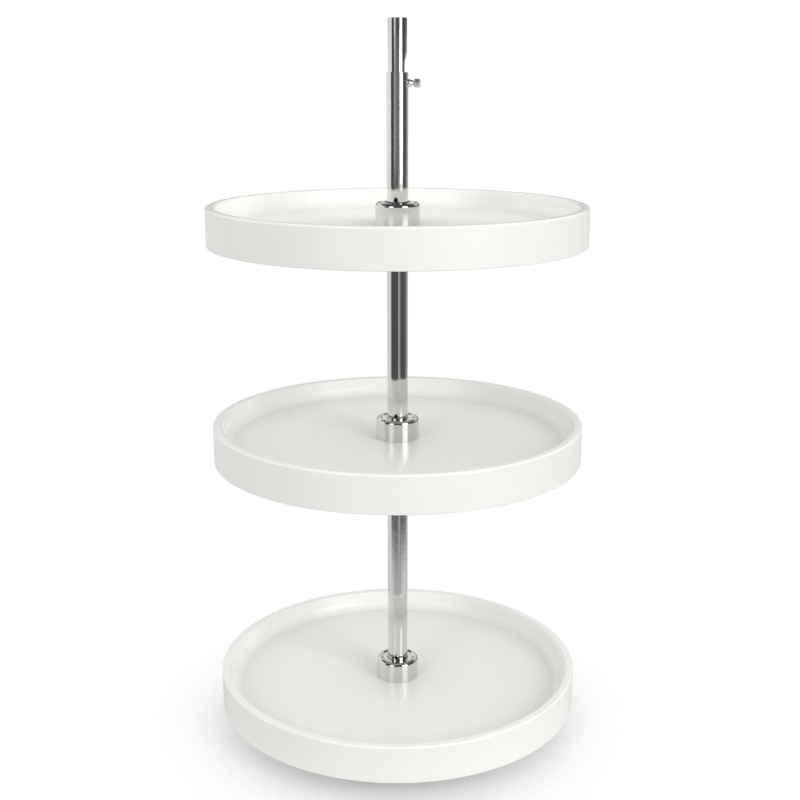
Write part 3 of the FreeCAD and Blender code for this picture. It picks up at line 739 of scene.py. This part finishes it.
def make_floor_plate(material):
    """The round plate with its collar and four countersunk holes."""
    foot, collar_top = height("floor_plate")
    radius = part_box("floor_plate")[1].x
    thickness = 2.5 * MM
    collar_bore = RUN_RADIUS + CUP_WALL + SEAT_GAP
    collar = collar_bore + 2.5 * MM
    plate = turned("floor_plate_pressing", [
        (0, foot),
        (radius, foot, 0.3 * MM),
        (radius, thickness, 1 * MM),
        (collar, thickness, 1 * MM),
        (collar, collar_top, 0.5 * MM),
        (collar_bore, collar_top, 0.3 * MM),
        (collar_bore, thickness),
        (0, thickness),
    ])
    mounts = {mount["name"]: mount for mount in frame["record"]["mounts"]}
    pattern = mounts["floor_holes"]["dims"]
    hole = pattern["hole_r_mm"] * MM
    sink = 4.4 * MM
    cutters = []
    for index in range(pattern["count"]):
        turn = Matrix.Rotation(2 * pi * index / pattern["count"], 4, "Z")
        aside = Matrix.Translation((pattern["pcd_mm"] / 2 * MM, 0, 0))
        cutter = turned("cutter", [
            (0, -MM),
            (hole, -MM),
            (hole, thickness - (sink - hole)),
            (sink, thickness),
            (sink, thickness + MM),
            (0, thickness + MM),
        ], 64)
        cutter.data.transform(turn @ aside)
        cutters.append(cutter)
    cut(plate, cutters)
    return place(plate, "floor_plate", material)


def make_bearing_cup(material):
    """The slippery liner that the post turns in."""
    foot, top = height("bearing_cup")
    outer = RUN_RADIUS + CUP_WALL
    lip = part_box("bearing_cup")[1].x
    lip_foot = top - 1.3 * MM
    cup_floor = foot + 1.5 * MM
    return place(turned("bearing_cup_moulding", [
        (0, foot),
        (outer, foot, 0.4 * MM),
        (outer, lip_foot),
        (lip, lip_foot, 0.3 * MM),
        (lip, top, 0.5 * MM),
        (RUN_RADIUS, top, 0.4 * MM),
        (RUN_RADIUS, cup_floor),
        (0, cup_floor),
    ]), "bearing_cup", material)


def make_foot_plug(material):
    """The plug in the lower end of the post."""
    foot, top = height("foot_plug")
    outer = BORE - SEAT_GAP
    hollow = outer - 4 * MM
    head = 2 * MM
    return place(turned("foot_plug_moulding", [
        (0, foot),
        (POST_RADIUS, foot, 0.4 * MM),
        (POST_RADIUS, foot + head, 0.3 * MM),
        (outer, foot + head),
        (outer, top, 0.4 * MM),
        (hollow, top, 0.3 * MM),
        (hollow, foot + head),
        (0, foot + head),
    ]), "foot_plug", material)


def make_pieces():
    """Every piece of the object, each in its own finish."""
    white, plastic, plate, steel = white_polymer(), nylon(), zinc_plate(), spring_steel()
    # the dark steel made here is painted shade for the pins' bores, laid on their cut ends too
    bore_shade = painted_bore_shade()
    tube = chrome("chrome_tube", 0.00005, (1, 1, 3))
    fitting = chrome("chrome_fitting", 0.00001, (1, 1, 1), 0.3)
    cap = chrome("chrome_cap", 0.00003, (1, 1, 1))
    make_floor_plate(plate)
    make_bearing_cup(plastic)
    make_foot_plug(plastic)
    make_lower_post(tube)
    make_upper_post(tube)
    make_top_bushing(plastic)
    make_lock_boss(fitting)
    make_lock_screw(fitting)
    for tier in TIERS:
        make_tray(tier, white)
        make_hub_cap(tier, cap)
        make_hub_bushing(tier, plastic)
        make_carrier_ring(tier, plastic)
        make_cross_pin(f"{tier}_carrier_pin", BOSS_OUTER - 1 * MM, steel, bore_shade)
        make_cross_pin(f"{tier}_retaining_pin", POST_RADIUS + 2.2 * MM, steel, bore_shade)


# ---------------------------------------------------------------- studio

MIDDLE_HEIGHT = 0.45
CAMERA_PLACE = (0.003, -1.509, 0.813)
CAMERA_TILT = 14.6  # degrees below level
CAMERA_LENS = 56.3
FLOOR_RADIUS = 2.6
FLOOR_TOP, FLOOR_FOOT = -0.0005, -0.02
FADE_START, FADE_END = 0.02, 0.36  # radii between which the floor fades out


def make_camera():
    """The photograph's view: in front, above the trays and tilted down a little."""
    camera = bpy.data.objects.new("camera", bpy.data.cameras.new("camera"))
    bpy.context.scene.collection.objects.link(camera)
    camera.location = CAMERA_PLACE
    camera.rotation_euler = (radians(90 - CAMERA_TILT), 0, 0)
    camera.data.sensor_width = 36
    camera.data.lens = CAMERA_LENS
    bpy.context.scene.camera = camera


def softbox(name, azimuth, elevation, distance, width, tall, watts):
    """A rectangular light that faces the object. Azimuth 0 is the camera's side, + is right."""
    light = bpy.data.lights.new(name, "AREA")
    light.shape = "RECTANGLE"
    light.size, light.size_y = width, tall
    light.energy = watts
    lamp = bpy.data.objects.new(name, light)
    lamp.visible_glossy = False  # polished metal shows the surroundings' light panels instead
    bpy.context.scene.collection.objects.link(lamp)
    side, lift = radians(azimuth), radians(elevation)
    away = Vector((sin(side) * cos(lift), -cos(side) * cos(lift), sin(lift)))
    lamp.location = Vector((0, 0, MIDDLE_HEIGHT)) + away * distance
    lamp.rotation_euler = away.to_track_quat("Z", "Y").to_euler()


def make_floor():
    """A pale round floor that fades into the white surroundings."""
    floor = turned("studio_floor", [
        (0, FLOOR_FOOT),
        (FLOOR_RADIUS, FLOOR_FOOT),
        (FLOOR_RADIUS, FLOOR_TOP),
        (0, FLOOR_TOP),
    ], 96)
    floor.data.shade_flat()
    material = bpy.data.materials.new("studio_floor")
    material.use_nodes = True
    nodes, links = material.node_tree.nodes, material.node_tree.links
    shader = nodes["Principled BSDF"]
    shader.inputs["Base Color"].default_value = (0.93, 0.93, 0.93, 1)
    shader.inputs["Roughness"].default_value = 0.6
    shader.inputs["Specular IOR Level"].default_value = 0.2
    place = nodes.new("ShaderNodeTexCoord")
    length = nodes.new("ShaderNodeVectorMath")
    length.operation = "LENGTH"
    fade = nodes.new("ShaderNodeMapRange")
    fade.interpolation_type = "SMOOTHSTEP"
    fade.inputs["From Min"].default_value = FADE_START
    fade.inputs["From Max"].default_value = FADE_END
    fade.inputs["To Min"].default_value = 1
    fade.inputs["To Max"].default_value = 0
    links.new(place.outputs["Object"], length.inputs[0])
    links.new(length.outputs["Value"], fade.inputs["Value"])
    links.new(fade.outputs["Result"], shader.inputs["Alpha"])
    floor.data.materials.append(material)
    floor.visible_glossy = False


# What the polished metal mirrors, a band of the studio to each table: degrees round from the
# camera's side, + to the right, and how bright the studio is there.
EYE_LEVEL = (
    (-180, 0.6), (-150, 0.95), (-76, 0.95), (-71, 0.07), (-42, 0.07), (-38, 0.37), (-18, 0.33),
    (-14, 0.2), (24, 0.2), (28, 3.2), (56, 3.2), (60, 0.09), (108, 0.1), (116, 0.4), (180, 0.6),
)
LOW = (
    (-180, 0.05), (-155, 0.05), (-140, 0.86), (-76, 0.86), (-71, 0.06), (-46, 0.06),
    (-43, 0.8), (-24, 0.8), (-20, 0.07), (26, 0.07), (30, 1.8), (54, 1.8), (58, 0.08),
    (108, 0.08), (150, 0.05), (180, 0.05),
)
ABOVE = (
    (-180, 0.8), (-150, 0.86), (-76, 0.86), (-71, 0.06), (-46, 0.06), (-43, 2), (-24, 2),
    (-20, 0.07), (26, 0.07), (30, 4.2), (54, 4.2), (58, 0.08), (108, 0.09), (116, 0.5), (180, 0.8),
)
BELOW = (
    (-180, 0.5), (-150, 0.8), (-80, 0.8), (-72, 0.09), (4, 0.09), (11, 0.45), (20, 0.42),
    (30, 0.2), (38, 0.09), (88, 0.1), (104, 0.22), (125, 0.4), (150, 0.6), (180, 0.5),
)
FOREGROUND = (
    (-180, 0.5), (-100, 0.8), (-60, 0.75), (-30, 0.5),
    (30, 0.5), (60, 0.75), (100, 0.8), (180, 0.5),
)
# The same for the light that falls on matt surfaces: from the sides, and from high up.
DAYLIGHT = (
    (-180, 1.7), (-100, 1.46), (-60, 1.25), (60, 1.18), (100, 1.48), (180, 1.7),
)
SKYLIGHT = (
    (-180, 0.5), (-100, 0.52), (-60, 0.7), (60, 0.7), (100, 0.52), (180, 0.5),
)


class Surroundings:
    """The world: white to the camera, even light on the object, and a studio in polished metal."""

    def __init__(self):
        world = bpy.data.worlds.new("studio")
        bpy.context.scene.world = world
        world.use_nodes = True
        self.nodes, self.links = world.node_tree.nodes, world.node_tree.links
        self.nodes.clear()
        self.path = self.nodes.new("ShaderNodeLightPath")
        place = self.nodes.new("ShaderNodeTexCoord")
        self.axes = self.nodes.new("ShaderNodeSeparateXYZ")
        self.links.new(place.outputs["Generated"], self.axes.inputs["Vector"])
        self.turn = self.azimuth()
        studio = self.mix(self.over(-23.5, -19), self.walls(FOREGROUND), self.walls(BELOW))
        studio = self.mix(self.over(-6, -3), studio, self.walls(EYE_LEVEL))
        studio = self.mix(self.over(0, 3), studio, self.walls(LOW))
        studio = self.mix(self.over(9, 15), studio, self.walls(ABOVE))
        studio = self.mix(self.over(32, 44), studio, grey(0.08))
        daylight = self.mix(self.over(-5, 5), grey(0.32), self.walls(DAYLIGHT))
        daylight = self.mix(self.over(34, 46), daylight, self.walls(SKYLIGHT))
        lit = self.mix(self.path.outputs["Is Glossy Ray"], daylight, studio)
        seen = self.mix(self.path.outputs["Is Camera Ray"], lit, grey(1))
        background = self.nodes.new("ShaderNodeBackground")
        output = self.nodes.new("ShaderNodeOutputWorld")
        self.links.new(seen, background.inputs["Color"])
        self.links.new(background.outputs["Background"], output.inputs["Surface"])

    def azimuth(self):
        """The way round from the camera's side, as 0 to 1 for -180 to 180 degrees."""
        toward = self.nodes.new("ShaderNodeMath")
        toward.operation = "MULTIPLY"
        toward.inputs[1].default_value = -1
        self.links.new(self.axes.outputs["Y"], toward.inputs[0])
        angle = self.nodes.new("ShaderNodeMath")
        angle.operation = "ARCTAN2"
        self.links.new(self.axes.outputs["X"], angle.inputs[0])
        self.links.new(toward.outputs["Value"], angle.inputs[1])
        share = self.nodes.new("ShaderNodeMapRange")
        share.inputs["From Min"].default_value = -pi
        share.inputs["From Max"].default_value = pi
        self.links.new(angle.outputs["Value"], share.inputs["Value"])
        return share.outputs["Result"]

    def over(self, low, high):
        """0 below the first elevation and 1 above the second, in degrees."""
        step = self.nodes.new("ShaderNodeMapRange")
        step.interpolation_type = "SMOOTHSTEP"
        step.inputs["From Min"].default_value = sin(radians(low))
        step.inputs["From Max"].default_value = sin(radians(high))
        self.links.new(self.axes.outputs["Z"], step.inputs["Value"])
        return step.outputs["Result"]

    def walls(self, stops):
        """Brightness by the way round."""
        ramp = self.nodes.new("ShaderNodeValToRGB")
        elements = ramp.color_ramp.elements
        for degrees, brightness in stops[1:-1]:
            elements.new((degrees + 180) / 360)
        for element, (degrees, brightness) in zip(elements, stops):
            element.position = (degrees + 180) / 360
            element.color = grey(brightness)
        self.links.new(self.turn, ramp.inputs["Fac"])
        return ramp.outputs["Color"]

    def mix(self, share, first, second):
        """Goes from the first colour to the second as share goes from 0 to 1."""
        mix = self.nodes.new("ShaderNodeMix")
        mix.data_type = "RGBA"
        self.links.new(share, mix.inputs["Factor"])
        for socket, colour in (("A", first), ("B", second)):
            if isinstance(colour, tuple):
                mix.inputs[socket].default_value = colour
            else:
                self.links.new(colour, mix.inputs[socket])
        return mix.outputs["Result"]


def grey(brightness):
    """A colour socket's value for a brightness."""
    return (brightness, brightness, brightness, 1)


make_camera()
Surroundings()
make_floor()
softbox("key_light", 46, 20, 5, 2.4, 3.2, 115)
softbox("fill_light", -35, 22, 5, 1.6, 3.2, 45)
bpy.context.scene.view_settings.view_transform = "Standard"
make_pieces()
